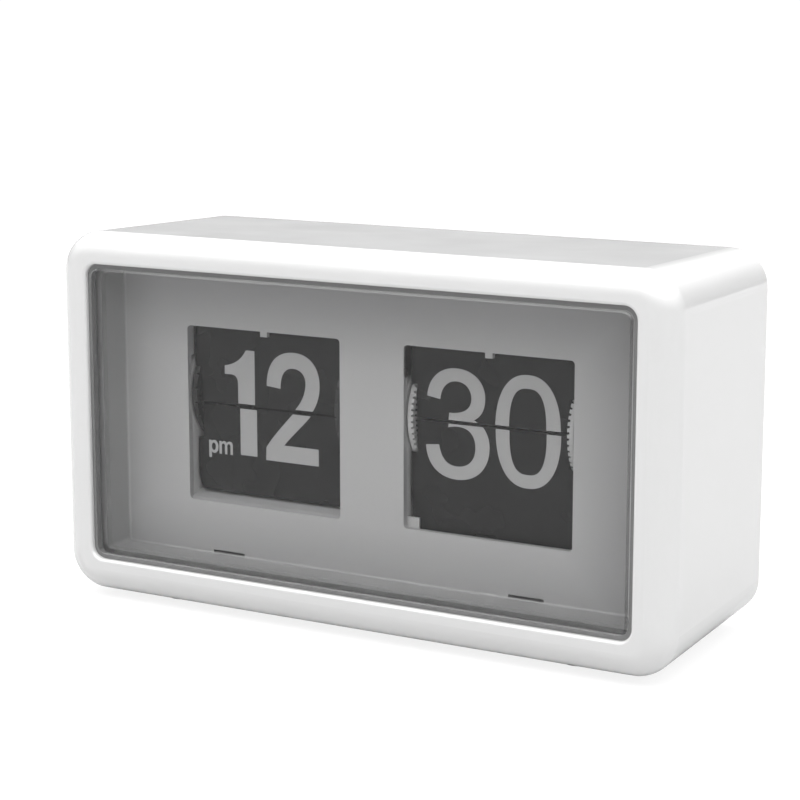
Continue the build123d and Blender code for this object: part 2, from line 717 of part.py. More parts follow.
# ---------------------------------------------------------------- gear train
MINUTE_GEAR_X = 55.3
HOUR_GEAR_X = -6.4
CARRY_WHEEL_X = 4.0
DRIVE_WHEEL_X = 60.2
WHEEL_THIN = 1.5
CARRY_PHASE = meshed_phase(0, CARRY_TEETH[0], CARRY_TEETH[1], CARRY_DIRECTION)
HOUR_PHASE = meshed_phase(CARRY_PHASE, HOUR_TEETH[0], HOUR_TEETH[1], CARRY_DIRECTION + 180)
DRIVE_PHASE = meshed_phase(0, MINUTE_TEETH, DRIVE_TEETH[0], DRIVE_DIRECTION)
ROTOR_PHASE = meshed_phase(DRIVE_PHASE, ROTOR_TEETH[1], ROTOR_TEETH[0], ROTOR_DIRECTION)
SETTING_PHASE = meshed_phase(0, MINUTE_TEETH, SETTING_TEETH, SETTING_DIRECTION)

# plain wheels: name, teeth, centre, phase, start, width, bore radius, lightening hole circle and radius
WHEELS = (
    ("minute_gear", MINUTE_TEETH, DRUM_AXIS, 0, MINUTE_GEAR_X, GEAR_W, AXLE_R, 7.0, 2.2),
    ("hour_gear", HOUR_TEETH[1], DRUM_AXIS, HOUR_PHASE, HOUR_GEAR_X, 1.8, AXLE_R, 7.0, 2.2),
    ("setting_gear", SETTING_TEETH, SETTING_AXIS, SETTING_PHASE, MINUTE_GEAR_X, GEAR_W, TIE_R, 4.3, 0.9),
)
for wheel_name, teeth, centre, phase, start, width, bore, hole_circle, hole_r in WHEELS:
    with BuildPart() as wheel:
        with BuildSketch(at_x(start)):
            Polygon(*gear_outline(teeth, centre, phase), align=None)
            with Locations(centre):
                Circle(bore, mode=Mode.SUBTRACT)
                with PolarLocations(hole_circle, 4, 45):
                    Circle(hole_r, mode=Mode.SUBTRACT)
        extrude(amount=width)
    wheel.part.label = wheel_name
    export_step(wheel.part, "parts/" + wheel_name + ".step")

# plain pinions: name, teeth, centre, phase, start, width, bore radius
PINIONS = (
    ("carry_pinion", CARRY_TEETH[0], DRUM_AXIS, 0, 3.2, 3.4, AXLE_R),
    ("rotor_pinion", ROTOR_TEETH[0], ROTOR_AXIS, ROTOR_PHASE, DRIVE_WHEEL_X - 0.2, 1.9, 0.5),
)
for pinion_name, teeth, centre, phase, start, width, bore in PINIONS:
    with BuildPart() as pinion:
        with BuildSketch(at_x(start)):
            Polygon(*gear_outline(teeth, centre, phase), align=None)
            with Locations(centre):
                Circle(bore, mode=Mode.SUBTRACT)
        extrude(amount=width)
    pinion.part.label = pinion_name
    export_step(pinion.part, "parts/" + pinion_name + ".step")

# wheels moulded in one with a pinion: name, centre, bore, wheel (teeth, phase, start), pinion the same
DOUBLES = (
    (
        "carry_wheel",
        CARRY_AXIS,
        1.0,
        (CARRY_TEETH[1], CARRY_PHASE, CARRY_WHEEL_X, WHEEL_THIN),
        (HOUR_TEETH[0], CARRY_PHASE, HOUR_GEAR_X - 0.3, CARRY_WHEEL_X - HOUR_GEAR_X + 0.3),
    ),
    (
        "drive_wheel",
        DRIVE_AXIS,
        0.75,
        (DRIVE_TEETH[1], DRIVE_PHASE, DRIVE_WHEEL_X, WHEEL_THIN),
        (DRIVE_TEETH[0], DRIVE_PHASE, MINUTE_GEAR_X - 0.3, DRIVE_WHEEL_X - MINUTE_GEAR_X + 0.3),
    ),
)
for double_name, centre, bore, *toothed in DOUBLES:
    with BuildPart() as double:
        for teeth, phase, start, width in toothed:
            with BuildSketch(at_x(start)):
                Polygon(*gear_outline(teeth, centre, phase), align=None)
                with Locations(centre):
                    Circle(bore, mode=Mode.SUBTRACT)
            extrude(amount=width)
    double.part.label = double_name
    export_step(double.part, "parts/" + double_name + ".step")

# arbors: name, centre, radius, start, end
ARBORS = (
    ("carry_arbor", CARRY_AXIS, 1.0, -PLATE_IN + 0.3, PLATE_IN - 0.3),
    ("drive_arbor", DRIVE_AXIS, 0.75, PLATE_OUT + 0.3, TRAIN_X + TRAIN_PLATE - 0.2),
    ("setting_arbor", SETTING_AXIS, TIE_R, PLATE_OUT + 0.3, WHEEL_X + WHEEL_W + 1.6),
    ("rotor_shaft", ROTOR_AXIS, 0.5, DRIVE_WHEEL_X - 0.6, 72.6),
)
for arbor_name, centre, radius, start, end in ARBORS:
    with BuildPart() as arbor:
        with BuildSketch(at_x(start)):
            with Locations(centre):
                Circle(radius)
        extrude(amount=end - start)
    arbor.part.label = arbor_name
    export_step(arbor.part, "parts/" + arbor_name + ".step")

# open retaining clips on the outer ends of the two drum axles
for clip_name, clip_x in (("minute_clip", 57.6), ("hour_clip", -55.3)):
    with BuildPart() as clip:
        with BuildSketch(at_x(clip_x)):
            with Locations(DRUM_AXIS):
                Circle(3.0)
                Circle(AXLE_R, mode=Mode.SUBTRACT)
            with Locations((AXIS_Y, AXIS_Z - 2.4)):
                Rectangle(2.2, 2.4, mode=Mode.SUBTRACT)
        extrude(amount=0.5)
    clip.part.label = clip_name
    export_step(clip.part, "parts/" + clip_name + ".step")

# thumb wheel with a fluted rim
with BuildPart() as setting_wheel:
    with BuildSketch(at_x(WHEEL_X)):
        with Locations(SETTING_AXIS):
            Circle(WHEEL_R)
            Circle(TIE_R, mode=Mode.SUBTRACT)
            with PolarLocations(WHEEL_R + 0.25, 40):
                Circle(0.5, mode=Mode.SUBTRACT)
    extrude(amount=WHEEL_W)
    for recess_x, way in ((WHEEL_X, 1), (WHEEL_X + WHEEL_W, -1)):
        with BuildSketch(at_x(recess_x)):
            with Locations(SETTING_AXIS):
                Circle(8.4)
                Circle(3.0, mode=Mode.SUBTRACT)
        extrude(amount=way * 1.2, mode=Mode.SUBTRACT)
setting_wheel.part.label = "setting_wheel"
export_step(setting_wheel.part, "parts/setting_wheel.step")

# ---------------------------------------------------------------- motor
CASE_X = TRAIN_X + TRAIN_PLATE
CASE_END = 72.0
CASE_WALL = 1.2
CASE_Y = 3.5
CASE_Z = 21.15
CASE_SPAN = (30.0, 30.7)
STATOR_X = 67.65
STATOR = 1.5
CORE_Z = 12.2
COIL_R = 3.2
COIL_Y = (-4.6, 11.6)
BOARD_X = 69.4
BOARD_END_X = BOARD_X + 0.4

with BuildPart() as motor_case:
    with BuildSketch(at_x(CASE_X)):
        with Locations((CASE_Y, CASE_Z)):
            RectangleRounded(*CASE_SPAN, 2.0)
    extrude(amount=CASE_END - CASE_X)
    with BuildSketch(at_x(CASE_X + CASE_WALL)):
        with Locations((CASE_Y, CASE_Z)):
            RectangleRounded(CASE_SPAN[0] - 2 * CASE_WALL, CASE_SPAN[1] - 2 * CASE_WALL, 0.9)
    extrude(amount=CASE_END - CASE_X, mode=Mode.SUBTRACT)
    with BuildSketch(at_x(CASE_X)):
        with Locations(*MOTOR_PEGS):
            Circle(1.5)
    extrude(amount=-TRAIN_PLATE)
    with BuildSketch(at_x(CASE_X)):
        with Locations(ROTOR_AXIS):
            Circle(0.5 + RUN)
    extrude(amount=CASE_WALL, mode=Mode.SUBTRACT)
    # slot where the two wires come in
    with BuildSketch(at_y(19.0)):
        with Locations((BOARD_END_X, 25.4)):
            Rectangle(1.4, 4.4)
    extrude(amount=2.2, mode=Mode.SUBTRACT)
motor_case.part.label = "motor_case"
export_step(motor_case.part, "parts/motor_case.step")

with BuildPart() as motor_lid:
    with BuildSketch(at_x(CASE_END)):
        with Locations((CASE_Y, CASE_Z)):
            RectangleRounded(*CASE_SPAN, 2.0)
    extrude(amount=CASE_WALL)
    with BuildSketch(at_x(CASE_END)):
        with Locations(ROTOR_AXIS):
            Circle(0.5 + RUN)
    extrude(amount=0.8, mode=Mode.SUBTRACT)
motor_lid.part.label = "motor_lid"
export_step(motor_lid.part, "parts/motor_lid.step")

with BuildPart() as stator:
    with BuildSketch(at_x(STATOR_X)):
        with Locations((CASE_Y, 27.2)):
            Rectangle(24.4, 12.6)
        with Locations((-7.0, 16.4), (14.0, 16.4)):
            Rectangle(3.4, 11.4)
        with Locations((CASE_Y, CORE_Z)):
            Rectangle(21.0, 3.0)
        with Locations(ROTOR_AXIS):
            Circle(4.6, mode=Mode.SUBTRACT)
    extrude(amount=STATOR)
stator.part.label = "stator"
export_step(stator.part, "parts/stator.step")

COIL_X = STATOR_X + STATOR / 2
with BuildPart() as coil_bobbin:
    with BuildSketch(at_y(COIL_Y[0])):
        with Locations((COIL_X, CORE_Z)):
            RectangleRounded(2.6, 4.1, 0.4)
            Rectangle(STATOR + 0.1, 3.1, mode=Mode.SUBTRACT)
    extrude(amount=COIL_Y[0] - COIL_Y[1])
    for cheek_y in (COIL_Y[0], COIL_Y[1] - 0.8):
        with BuildSketch(at_y(cheek_y)):
            with Locations((COIL_X, CORE_Z)):
                Circle(COIL_R + 0.2)
                Rectangle(STATOR + 0.1, 3.1, mode=Mode.SUBTRACT)
        extrude(amount=-0.8)
coil_bobbin.part.label = "coil_bobbin"
export_step(coil_bobbin.part, "parts/coil_bobbin.step")

with BuildPart() as coil:
    with BuildSketch(at_y(COIL_Y[0] + 0.8)):
        with Locations((COIL_X, CORE_Z)):
            Circle(COIL_R)
            RectangleRounded(2.6, 4.1, 0.4, mode=Mode.SUBTRACT)
    extrude(amount=COIL_Y[0] - COIL_Y[1] + 1.6)
coil.part.label = "coil"
export_step(coil.part, "parts/coil.step")

with BuildPart() as rotor_magnet:
    with BuildSketch(at_x(66.4)):
        with Locations(ROTOR_AXIS):
            Circle(4.0)
            Circle(0.5, mode=Mode.SUBTRACT)
    extrude(amount=3.4)
    chamfer(rotor_magnet.edges().filter_by(GeomType.CIRCLE).sort_by(SortBy.RADIUS)[-2:], 0.3)
rotor_magnet.part.label = "rotor_magnet"
export_step(rotor_magnet.part, "parts/rotor_magnet.step")

with BuildPart() as circuit_board:
    with BuildSketch(at_x(BOARD_X)):
        with Locations((12.6, 25.6)):
            Rectangle(8.4, 17.6)
    extrude(amount=0.8)
    # potted chip
    with BuildSketch(at_x(BOARD_X + 0.8)):
        with Locations((12.0, 30.0)):
            Circle(2.4)
    extrude(amount=0.8, taper=30)
circuit_board.part.label = "circuit_board"
export_step(circuit_board.part, "parts/circuit_board.step")

with BuildPart() as quartz_crystal:
    with BuildSketch(Plane.XY.offset(18.2)):
        with Locations((BOARD_X + 1.55, 14.0)):
            Circle(0.7)
    extrude(amount=6.0)
quartz_crystal.part.label = "quartz_crystal"
export_step(quartz_crystal.part, "parts/quartz_crystal.step")

# ---------------------------------------------------------------- rear cover, battery and door
COVER_HALF = side_x(COVER_FACE) - WALL - 0.15
COVER_LOW = under_z(COVER_FACE) + WALL + 0.15
COVER_TOP = roof_z(COVER_FACE) - WALL - 0.15
CELL_WALL = 1.4
CELL_DEEP = COVER_FACE - DOOR - (CELL_Y - CELL_R - 0.3)
HINGE_Y = COVER_FACE - DOOR / 2
HINGE_Z = DOOR_LOW + DOOR / 2

with BuildPart() as rear_cover:
    with BuildSketch(at_y(COVER_FACE)):
        with Locations((0, (COVER_LOW + COVER_TOP) / 2)):
            RectangleRounded(2 * COVER_HALF, COVER_TOP - COVER_LOW, 6.4)
    extrude(amount=COVER)
    # battery compartment
    with BuildSketch(at_y(COVER_FACE)):
        with Locations((CELL_X, (CELL_LOW + CELL_TOP) / 2)):
            Rectangle(2 * (CELL_HALF + CELL_WALL), CELL_TOP - CELL_LOW + 2 * CELL_WALL)
    extrude(amount=CELL_DEEP + DOOR + CELL_WALL)
    with BuildSketch(at_y(COVER_FACE)):
        with Locations((CELL_X, (CELL_LOW + CELL_TOP) / 2)):
            Rectangle(2 * CELL_HALF, CELL_TOP - CELL_LOW)
    extrude(amount=CELL_DEEP + DOOR, mode=Mode.SUBTRACT)
    # recess for the door, its hinge sockets and a finger notch above it
    with BuildSketch(at_y(COVER_FACE)):
        with Locations((CELL_X, (DOOR_LOW + DOOR_TOP) / 2)):
            Rectangle(2 * DOOR_HALF + 0.3, DOOR_TOP - DOOR_LOW + 0.3)
        with Locations((CELL_X, DOOR_TOP)):
            Circle(4.0)
    extrude(amount=DOOR + 0.1, mode=Mode.SUBTRACT)
    with BuildSketch(at_x(CELL_X - DOOR_HALF - 1.1)):
        with Locations((HINGE_Y, HINGE_Z)):
            Circle(0.55)
    extrude(amount=2 * DOOR_HALF + 2.2, mode=Mode.SUBTRACT)
    # slot for the thumb wheel
    with BuildSketch(at_y(COVER_FACE)):
        with Locations((WHEEL_X + WHEEL_W / 2, SETTING_AXIS[1])):
            RectangleRounded(WHEEL_W + 1.4, 18.6, 1.0)
    extrude(amount=COVER, mode=Mode.SUBTRACT)
    # screw holes with sunk seats
    with BuildSketch(at_y(COVER_FACE)):
        with Locations(*REAR_FIXINGS):
            Circle(CLEAR_R)
    extrude(amount=COVER, mode=Mode.SUBTRACT)
    with BuildSketch(at_y(COVER_FACE)):
        with Locations(*REAR_FIXINGS):
            Circle(HEAD_R + 0.2)
    extrude(amount=0.8, mode=Mode.SUBTRACT)
rear_cover.part.label = "rear_cover"
export_step(rear_cover.part, "parts/rear_cover.step")

with BuildPart() as rear_screws:
    with BuildSketch(at_y(COVER_FACE - 0.8)):
        with Locations(*REAR_FIXINGS):
            Circle(SCREW_R)
    extrude(amount=6.0)
    with BuildSketch(at_y(COVER_FACE - 0.8)):
        with Locations(*REAR_FIXINGS):
            Circle(HEAD_R)
    extrude(amount=-1.3)
    fillet(rear_screws.edges().group_by(Axis.Y)[-1], 0.5)
    # cross recess
    with BuildSketch(at_y(COVER_FACE + 0.5)):
        with Locations(*REAR_FIXINGS):
            Rectangle(2.0, 0.5)
            Rectangle(0.5, 2.0)
    extrude(amount=0.7, mode=Mode.SUBTRACT)
rear_screws.part.label = "rear_screws"
export_step(rear_screws.part, "parts/rear_screws.step")

with BuildPart() as battery_door:
    with BuildSketch(at_x(CELL_X - DOOR_HALF)):
        with Locations((HINGE_Y, (HINGE_Z + DOOR_TOP) / 2)):
            Rectangle(DOOR, DOOR_TOP - HINGE_Z)
        with Locations((HINGE_Y, HINGE_Z)):
            Circle(DOOR / 2)
    extrude(amount=2 * DOOR_HALF)
    with BuildSketch(at_x(CELL_X - DOOR_HALF - 0.9)):
        with Locations((HINGE_Y, HINGE_Z)):
            Circle(0.5)
    extrude(amount=2 * DOOR_HALF + 1.8)
    # grip ribs near the top
    for rib in range(4):
        with BuildSketch(at_x(CELL_X - 5.0)):
            with Locations((COVER_FACE, 70.0 - 2.0 * rib)):
                Circle(0.35)
        extrude(amount=10.0)
battery_door.part.label = "battery_door"
export_step(battery_door.part, "parts/battery_door.step")

CELL_FOOT = 20.5
CELL_BODY = 49.2
with BuildPart() as battery:
    with BuildSketch(Plane.XY.offset(CELL_FOOT)):
        with Locations((CELL_X, CELL_Y)):
            Circle(CELL_R)
    extrude(amount=CELL_BODY)
    chamfer(battery.edges().group_by(Axis.Z)[0], 0.5)
    chamfer(battery.edges().group_by(Axis.Z)[-1], 0.5)
    with BuildSketch(Plane.XY.offset(CELL_FOOT + CELL_BODY)):
        with Locations((CELL_X, CELL_Y)):
            Circle(2.6)
    extrude(amount=1.3)
battery.part.label = "battery"
export_step(battery.part, "parts/battery.step")

SPRING_R = 3.6
SPRING_WIRE = 0.35
with BuildPart() as battery_spring:
    with BuildLine():
        coil_path = Helix(
            pitch=1.15,
            height=CELL_FOOT - CELL_LOW - 2 * SPRING_WIRE - 0.1,
            radius=SPRING_R,
            center=(CELL_X, CELL_Y, CELL_LOW + SPRING_WIRE + 0.05),
        )
    with BuildSketch(Plane(origin=coil_path @ 0, z_dir=coil_path % 0)):
        Circle(SPRING_WIRE)
    sweep(is_frenet=True)
battery_spring.part.label = "battery_spring"
export_step(battery_spring.part, "parts/battery_spring.step")

# flat contact at the top of the compartment, with a tab through its side wall
CONTACT_Z = CELL_FOOT + CELL_BODY + 1.4
with BuildPart() as battery_contact:
    with BuildSketch(Plane.XY.offset(CONTACT_Z)):
        with Locations((CELL_X, CELL_Y)):
            Rectangle(10.0, 9.0)
    extrude(amount=0.4)
    with BuildSketch(Plane.XY.offset(CONTACT_Z)):
        with Locations((CELL_X, CELL_Y)):
            Circle(2.0)
    extrude(amount=CELL_TOP - CONTACT_Z)
battery_contact.part.label = "battery_contact"
export_step(battery_contact.part, "parts/battery_contact.step")

# two insulated wires run under the drums from the compartment to the motor's board
WIRE_R = 0.45
RED_Y = 22.0
BLACK_Y = 21.0
BOARD_Y = 16.9
WIRES = (
    (
        "red_wire",
        (
            (-56.7, RED_Y, 71.0),
            (-56.7, RED_Y, 12.4),
            (BOARD_END_X, RED_Y, 12.4),
            (BOARD_END_X, RED_Y, 26.6),
            (BOARD_END_X, BOARD_Y, 26.6),
        ),
    ),
    (
        "black_wire",
        (
            (-66.0, BLACK_Y, 15.0),
            (-66.0, BLACK_Y, 10.4),
            (BOARD_END_X, BLACK_Y, 10.4),
            (BOARD_END_X, BLACK_Y, 24.2),
            (BOARD_END_X, BOARD_Y, 24.2),
        ),
    ),
)
for wire_name, stops in WIRES:
    with BuildPart() as wire:
        with BuildLine():
            run_path = FilletPolyline(*stops, radius=1.5)
        with BuildSketch(Plane(origin=run_path @ 0, z_dir=run_path % 0)):
            Circle(WIRE_R)
        sweep()
    wire.part.label = wire_name
    export_step(wire.part, "parts/" + wire_name + ".step")
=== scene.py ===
import json
import math

import bmesh
import bpy
from mathutils import Matrix, Vector


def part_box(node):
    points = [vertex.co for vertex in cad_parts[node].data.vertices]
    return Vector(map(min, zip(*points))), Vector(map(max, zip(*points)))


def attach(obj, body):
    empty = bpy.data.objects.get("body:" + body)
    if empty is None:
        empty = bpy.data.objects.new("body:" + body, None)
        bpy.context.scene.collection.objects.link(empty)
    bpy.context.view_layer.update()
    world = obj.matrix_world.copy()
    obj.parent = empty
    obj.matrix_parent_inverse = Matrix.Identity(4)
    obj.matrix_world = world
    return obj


# Looks of the flip number clock. Blender works in metres; the print is drawn in millimetres.
MM = 0.001

# brightness of the white backdrop and floor as the camera sees them
BACKDROP = 1.05

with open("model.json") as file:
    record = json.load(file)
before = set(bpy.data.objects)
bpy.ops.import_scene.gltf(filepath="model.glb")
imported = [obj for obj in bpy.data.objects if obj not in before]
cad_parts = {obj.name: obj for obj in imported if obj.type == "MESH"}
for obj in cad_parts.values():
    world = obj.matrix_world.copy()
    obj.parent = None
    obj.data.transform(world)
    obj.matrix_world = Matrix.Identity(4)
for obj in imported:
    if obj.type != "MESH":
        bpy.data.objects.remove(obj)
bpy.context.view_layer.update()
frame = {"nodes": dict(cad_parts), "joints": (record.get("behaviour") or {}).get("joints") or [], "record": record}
joints = {joint["name"]: joint for joint in frame["joints"]}


# ---------------------------------------------------------------- node helpers
class Nodes:
    """A material's node tree with short ways to add and join nodes."""

    def __init__(self, name):
        self.material = bpy.data.materials.new(name)
        self.material.use_nodes = True
        self.tree = self.material.node_tree
        self.tree.nodes.clear()
        self.output = self.add("ShaderNodeOutputMaterial")

    def add(self, kind, **values):
        node = self.tree.nodes.new(kind)
        for key, value in values.items():
            setattr(node, key, value)
        return node

    def join(self, source, target):
        self.tree.links.new(source, target)

    def place(self, stretch=(1, 1, 1)):
        """Position in the clock's own frame, in metres, stretched per axis."""
        coords = self.add("ShaderNodeTexCoord")
        mapping = self.add("ShaderNodeMapping")
        mapping.inputs["Scale"].default_value = stretch
        self.join(coords.outputs["Object"], mapping.inputs["Vector"])
        return mapping.outputs["Vector"]

    def noise(self, size, detail=2.0, stretch=(1, 1, 1)):
        """Noise with features of about the given size in metres."""
        noise = self.add("ShaderNodeTexNoise")
        noise.inputs["Scale"].default_value = 1 / size
        noise.inputs["Detail"].default_value = detail
        self.join(self.place(stretch), noise.inputs["Vector"])
        return noise.outputs["Fac"]

    def spread(self, source, low, high, start=0.3, end=0.7):
        """Maps the middle of a noise's range onto low to high."""
        ramp = self.add("ShaderNodeMapRange")
        ramp.inputs["From Min"].default_value = start
        ramp.inputs["From Max"].default_value = end
        ramp.inputs["To Min"].default_value = low
        ramp.inputs["To Max"].default_value = high
        self.join(source, ramp.inputs["Value"])
        return ramp.outputs["Result"]

    def math(self, operation, first, second=None):
        node = self.add("ShaderNodeMath", operation=operation)
        for socket, value in zip(node.inputs, (first, second)):
            if isinstance(value, (int, float)):
                socket.default_value = value
            elif value is not None:
                self.join(value, socket)
        return node.outputs["Value"]

    def tint(self, source, first, second):
        """Colour that runs from first to second as source runs from 0 to 1."""
        mix = self.add("ShaderNodeMix", data_type="RGBA")
        mix.inputs["A"].default_value = (*first, 1)
        mix.inputs["B"].default_value = (*second, 1)
        self.join(source, mix.inputs["Factor"])
        return mix.outputs["Result"]

    def bump(self, height, depth):
        bump = self.add("ShaderNodeBump")
        bump.inputs["Strength"].default_value = 1.0
        bump.inputs["Distance"].default_value = depth
        self.join(height, bump.inputs["Height"])
        return bump.outputs["Normal"]

    def surface(self, colour, roughness, normal=None, **values):
        shader = self.add("ShaderNodeBsdfPrincipled")
        for socket, value in (("Base Color", colour), ("Roughness", roughness), ("Normal", normal)):
            if isinstance(value, (int, float)):
                shader.inputs[socket].default_value = value
            elif value is not None:
                self.join(value, shader.inputs[socket])
        for key, value in values.items():
            shader.inputs[key.replace("_", " ")].default_value = value
        return shader.outputs["BSDF"]

    def blend(self, factor, first, second):
        """Shader that runs from first to second as factor runs from 0 to 1."""
        mix = self.add("ShaderNodeMixShader")
        for socket, value in zip(mix.inputs, (factor, first, second)):
            if isinstance(value, (int, float)):
                socket.default_value = value
            else:
                self.join(value, socket)
        return mix.outputs["Shader"]

    def finish(self, shader):
        self.join(shader, self.output.inputs["Surface"])
        return self.material


def shade(level, warm=0.0):
    """A near-neutral colour of the given brightness, a little warmer for warm above 0."""
    return (level * (1 + warm), level, level * (1 - warm))


# ---------------------------------------------------------------- materials
def moulded(name, colour, roughness, grain=0.0004, depth=4e-6, clouds=0.05):
    """Moulded plastic: fine surface grain, faint flow clouds and an uneven sheen."""
    n = Nodes(name)
    fine = n.noise(grain, 3.0)
    cloud = n.noise(0.03, 2.0)
    darker = tuple(channel * (1 - clouds) for channel in colour)
    tone = n.tint(n.spread(cloud, 0, 1), darker, colour)
    sheen = n.spread(cloud, roughness * 0.9, roughness * 1.12)
    return n.finish(n.surface(tone, sheen, n.bump(fine, depth)))


def glossy_housing(name, colour):
    """Polished white housing with a long, very shallow waviness and a clear sheen."""
    n = Nodes(name)
    wave = n.noise(0.012, 1.0)
    cloud = n.noise(0.02, 2.0)
    tone = n.tint(n.spread(cloud, 0, 1, 0.2, 0.8), tuple(channel * 0.99 for channel in colour), colour)
    sheen = n.spread(cloud, 0.16, 0.19)
    normal = n.bump(wave, 2.5e-5)
    return n.finish(n.surface(tone, sheen, normal, Coat_Weight=0.25, Coat_Roughness=0.05))


def dial_with_painted_wall_shade(name):
    """Satin grey dial; the walls round it are painted a darker grey than the face, as painted shade in the recess.
    """
    n = Nodes(name)
    geometry = n.add("ShaderNodeNewGeometry")
    split = n.add("ShaderNodeSeparateXYZ")
    n.join(geometry.outputs["True Normal"], split.inputs["Vector"])
    face = n.spread(n.math("ABSOLUTE", split.outputs["Y"]), 0, 1, 0.6, 0.99)
    fine = n.noise(0.0004, 3.0)
    # painted shade: faces turned away from the front, the recess walls, get the darker grey
    tone = n.tint(face, shade(0.43), shade(0.62))
    return n.finish(n.surface(tone, n.spread(fine, 0.4, 0.46), n.bump(fine, 4e-6)))


def leaf_film(name):
    """Thin black plastic film with a faint, uneven haze."""
    n = Nodes(name)
    haze = n.noise(0.012, 2.0)
    tone = n.tint(n.spread(haze, 0, 1), shade(0.006), shade(0.008))
    return n.finish(n.surface(tone, n.spread(haze, 0.2, 0.22), Specular_IOR_Level=0.22))


def ink(name, level):
    """Screen-printed white ink, slightly uneven."""
    n = Nodes(name)
    speck = n.noise(0.0003, 3.0)
    tone = n.tint(n.spread(speck, 0, 1), shade(level * 0.95), shade(level))
    return n.finish(n.surface(tone, 0.55, n.bump(speck, 1e-6)))


def metal(name, colour, roughness, stretch=(1, 1, 1), grain=0.0003, depth=2e-6):
    """Bare metal with grinding or turning marks; a small stretch value draws the marks out."""
    n = Nodes(name)
    marks = n.noise(grain, 4.0, stretch)
    tone = n.tint(n.spread(marks, 0, 1), tuple(channel * 0.86 for channel in colour), colour)
    sheen = n.spread(marks, roughness * 0.8, roughness * 1.25)
    return n.finish(n.surface(tone, sheen, n.bump(marks, depth), Metallic=1.0))


def rubber(name, level):
    """Matt rubber or soft insulation."""
    n = Nodes(name)
    fine = n.noise(0.0002, 4.0)
    tone = n.tint(n.spread(fine, 0, 1), shade(level * 0.8), shade(level))
    return n.finish(n.surface(tone, n.spread(fine, 0.6, 0.8), n.bump(fine, 8e-6)))


def copper_winding(name):
    """Enamelled wire wound round the coil, as close rings along Y."""
    n = Nodes(name)
    rings = n.add("ShaderNodeTexWave", wave_type="BANDS", bands_direction="Y", wave_profile="SIN")
    rings.inputs["Scale"].default_value = 1 / 0.0007
    rings.inputs["Distortion"].default_value = 0.3
    n.join(n.place(), rings.inputs["Vector"])
    height = rings.outputs["Fac"]
    tone = n.tint(height, (0.24, 0.07, 0.02), (0.62, 0.25, 0.09))
    return n.finish(n.surface(tone, 0.28, n.bump(height, 8e-5), Metallic=0.75, Coat_Weight=0.6))


def board(name):
    """Green solder mask over raised copper tracks."""
    n = Nodes(name)
    tracks = n.add("ShaderNodeTexBrick")
    tracks.inputs["Scale"].default_value = 1 / 0.004
    tracks.inputs["Mortar Size"].default_value = 0.05
    n.join(n.place(), tracks.inputs["Vector"])
    fac = tracks.outputs["Fac"]
    tone = n.tint(fac, (0.012, 0.11, 0.045), (0.03, 0.24, 0.1))
    return n.finish(n.surface(tone, 0.3, n.bump(fac, 3e-5), Coat_Weight=0.5))


def battery_cell(name, node):
    """Plain two-tone sleeve with bare metal at both ends."""
    low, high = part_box(node)
    n = Nodes(name)
    split = n.add("ShaderNodeSeparateXYZ")
    n.join(n.place(), split.inputs["Vector"])
    height = n.spread(split.outputs["Z"], 0, 1, low.z, high.z)
    scuff = n.noise(0.0008, 3.0)
    band = n.math("GREATER_THAN", height, 0.7)
    sleeve = n.surface(n.tint(band, (0.02, 0.045, 0.13), (0.42, 0.43, 0.45)), n.spread(scuff, 0.22, 0.32))
    bare = n.surface(n.tint(scuff, shade(0.5), shade(0.66)), 0.25, n.bump(scuff, 2e-6), Metallic=1.0)
    ends = n.math("MAXIMUM", n.math("LESS_THAN", height, 0.02), n.math("GREATER_THAN", height, 0.965))
    return n.finish(n.blend(ends, sleeve, bare))


# the smoked window, as shares of the light: what the pane takes, the painted shade it takes besides
# just inside its clear rim, what a bevelled edge takes and the painted light or shade that comes with
# the way the bevel faces, and the haze the pane scatters and the painted light a bevel scatters; the
# rim's width and the reach of the painted shade are in metres
PANE_LOSS = 0.21
RIM_PAINTED_SHADE = 0.18
RIM_BAND = 1.5 * MM
RIM_REACH = 20 * MM
BEVEL_LOSS = 0.42
BEVEL_PAINTED_LEAN = 0.3
PANE_HAZE = 0.012
BEVEL_PAINTED_VEIL = 0.13
PANE_IOR = 1.42


def rim_depth(n, node):
    """How far a point of a flat upright node lies from the nearest side of the node's box."""
    low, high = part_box(node)
    place = n.add("ShaderNodeSeparateXYZ")
    n.join(n.place(), place.inputs["Vector"])
    nearest = None
    for axis, start, end in (("X", low.x, high.x), ("Z", low.z, high.z)):
        from_start = n.math("SUBTRACT", place.outputs[axis], start)
        from_end = n.math("SUBTRACT", end, place.outputs[axis])
        nearer = n.math("MINIMUM", from_start, from_end)
        nearest = nearer if nearest is None else n.math("MINIMUM", nearest, nearer)
    return nearest


